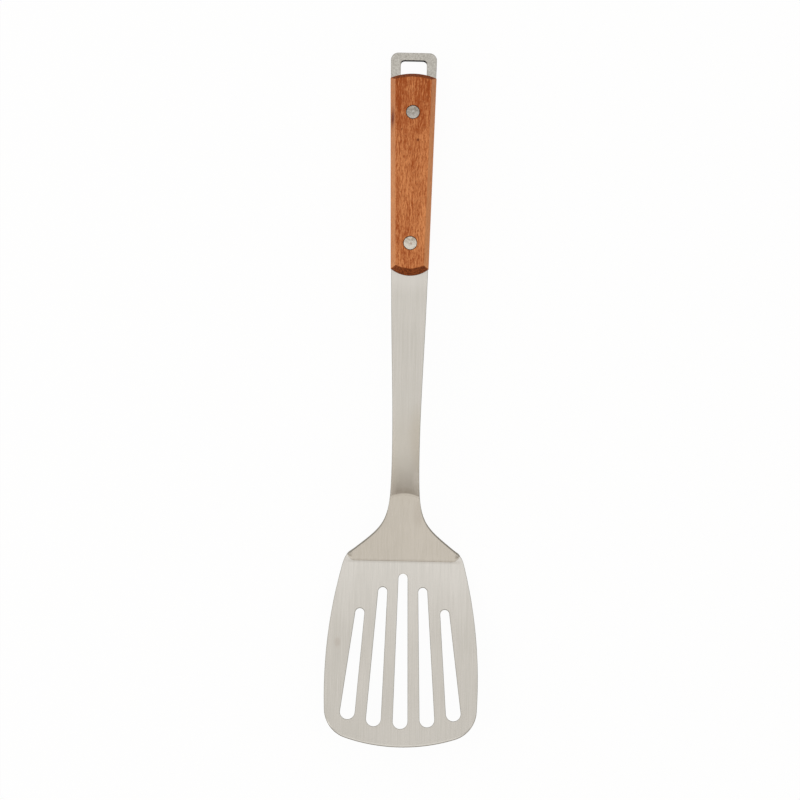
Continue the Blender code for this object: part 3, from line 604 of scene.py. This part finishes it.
def grip_wood():
    """Oiled reddish hardwood: wavy fibres along the grip, pores, edges worn lighter with painted
    sheen, dark end grain.
    """
    made = Shading("grip_wood")
    place = made.turned(made.place(), TANG_TILT)
    normal = made.normal()
    grain = wavy(made, place)
    fibres = made.noise(grain, *FIBRE)
    pores = made.flecks(grain, PORE_SPACING, *PORE_SIZE)

    colour = grain_colour(made, place, grain, fibres)
    colour = made.mix(made.times(pores, PORE_SHARE), colour, WOOD_PORE)
    # The long edges: partly worn lighter, partly a painted sheen
    facet = made.spread(made.unsigned(normal, "X"), *FACET_ASIDE)
    colour = made.mix(made.times(facet, FACET_SHARE), colour, FACET_WEAR_AND_SHEEN)
    colour = blemished(made, colour, place)

    along_grip = made.unsigned(made.turned(normal, TANG_TILT), "Y")
    end_grain = made.spread(along_grip, *END_FACING)
    dots = made.spread(made.noise(place, *END_GRAIN), *END_DOTS)
    colour = made.mix(end_grain, colour, made.mix(dots, END_DARK, END_LIGHT))

    roughness = made.spread(fibres, *NOISE_RANGE, *WOOD_ROUGHNESS)
    roughness = made.blend(end_grain, roughness, END_ROUGHNESS)
    relief = made.math("SUBTRACT", fibres, made.times(pores, PORE_DEPTH))
    made.set(
        made.shader,
        Base_Color=colour,
        Roughness=roughness,
        Specular_IOR_Level=WOOD_SPECULAR,
        Normal=made.bump(relief, FIBRE_DEPTH),
    )
    return made.material


# Rivets


def rivet_metal():
    """Satin rivet metal, mottled and lightly pitted, with a stain in the middle of each rivet."""
    made = Shading("rivet_metal")
    place = made.place()
    fine = made.noise(place, *RIVET_GRAIN)
    patches = made.noise(place, *RIVET_PATCH)
    tone = made.total((fine, patches), RIVET_TONE_WEIGHTS)
    colour = made.mix(made.spread(tone, *RIVET_TONE_RANGE), RIVET_DARK, RIVET_LIGHT)
    # The rivet near the loop is darker and greyer
    near_loop = made.spread(made.part(place, "Y"), *RIVET_GREYING_ZONE)
    colour = made.mix(near_loop, colour, RIVET_GREYING, "MULTIPLY")
    for node, off_middle, half, stain, share in RIVET_STAINS:
        low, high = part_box(node)
        centre = (low + high) / 2 + Vector(off_middle)
        colour = made.mark(colour, place, centre, (half, half, THROUGH), stain, share)
    made.set(
        made.shader,
        Base_Color=colour,
        Roughness=made.spread(patches, *NOISE_RANGE, *RIVET_ROUGHNESS),
        Metallic=1.0,
        Normal=made.bump(fine, RIVET_GRAIN_DEPTH),
    )
    return made.material


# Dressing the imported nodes


def dress():
    """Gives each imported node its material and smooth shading."""
    tree = smooth_by_angle()
    finishes = {
        "steel_sheet": brushed_steel(),
        "grip_wood": grip_wood(),
        "rivet_metal": rivet_metal(),
    }
    slots = {row["node"]: row["material_slot"] for row in frame["record"]["subparts"]}
    for name, node in frame["nodes"].items():
        node.data.materials[0] = finishes[slots[name]]
        node.modifiers.new(tree.name, "NODES").node_group = tree


# Studio


def soft_lamp(name, place, aim, size, radiance, colour):
    """A soft lamp of the given brightness, in units at which white renders white."""
    width, depth = size
    lamp = bpy.data.lights.new(name, "AREA")
    lamp.color = colour
    lamp.shape = "RECTANGLE"
    lamp.size = width
    lamp.size_y = depth
    lamp.energy = radiance * math.pi * width * depth
    holder = bpy.data.objects.new(name, lamp)
    holder.location = place
    holder.rotation_euler = (Vector(aim) - Vector(place)).to_track_quat("-Z", "Y").to_euler()
    holder.visible_camera = False
    bpy.context.scene.collection.objects.link(holder)


def lamps():
    """All the soft lamps, above and round the turner."""
    for name, row in LAMPS.items():
        soft_lamp(name, *row)


def world():
    """A dim warm sky."""
    sky = bpy.data.worlds.new("studio")
    sky.use_nodes = True
    background = sky.node_tree.nodes["Background"]
    background.inputs["Color"].default_value = SKY_COLOUR
    background.inputs["Strength"].default_value = SKY_LEVEL
    bpy.context.scene.world = sky


def floor_paint():
    """Pale paint that looks white to the camera and in the metal, and keeps a soft shadow."""
    paint = Shading("floor_paint")
    paint.set(paint.shader, Base_Color=FLOOR_COLOUR, Roughness=FLOOR_ROUGHNESS)
    glow = paint.new("ShaderNodeEmission", Strength=WHITE_GLOW)
    path = paint.tree.nodes.new("ShaderNodeLightPath")
    seen = paint.math("ADD", path.outputs["Is Camera Ray"], path.outputs["Is Glossy Ray"])
    seen = paint.math("ADD", seen, path.outputs["Is Transmission Ray"], clamp=True)
    blend = paint.tree.nodes.new("ShaderNodeMixShader")
    paint.put(blend, 0, paint.times(seen, GLOW_SHARE))
    paint.put(blend, 1, paint.shader.outputs[0])
    paint.put(blend, 2, glow.outputs[0])
    paint.put(paint.tree.nodes["Material Output"], "Surface", blend.outputs[0])
    return paint.material


def floor():
    """The surface that the turner lies on."""
    mesh = bpy.data.meshes.new("floor")
    half = FLOOR_HALF_WIDTH
    corners = [(-half, -half, 0.0), (half, -half, 0.0), (half, half, 0.0), (-half, half, 0.0)]
    mesh.from_pydata(corners, [], [(0, 1, 2, 3)])
    mesh.materials.append(floor_paint())
    made = bpy.data.objects.new("floor", mesh)
    bpy.context.scene.collection.objects.link(made)


def camera():
    """The photograph's view."""
    data = bpy.data.cameras.new("camera")
    data.lens = LENS
    data.sensor_width = SENSOR
    holder = bpy.data.objects.new("camera", data)
    holder.location = CAMERA_PLACE
    holder.rotation_euler = (0.0, 0.0, CAMERA_ROLL)
    bpy.context.scene.collection.objects.link(holder)
    bpy.context.scene.camera = holder


dress()
lamps()
world()
floor()
camera()
bpy.context.scene.view_settings.view_transform = "Standard"
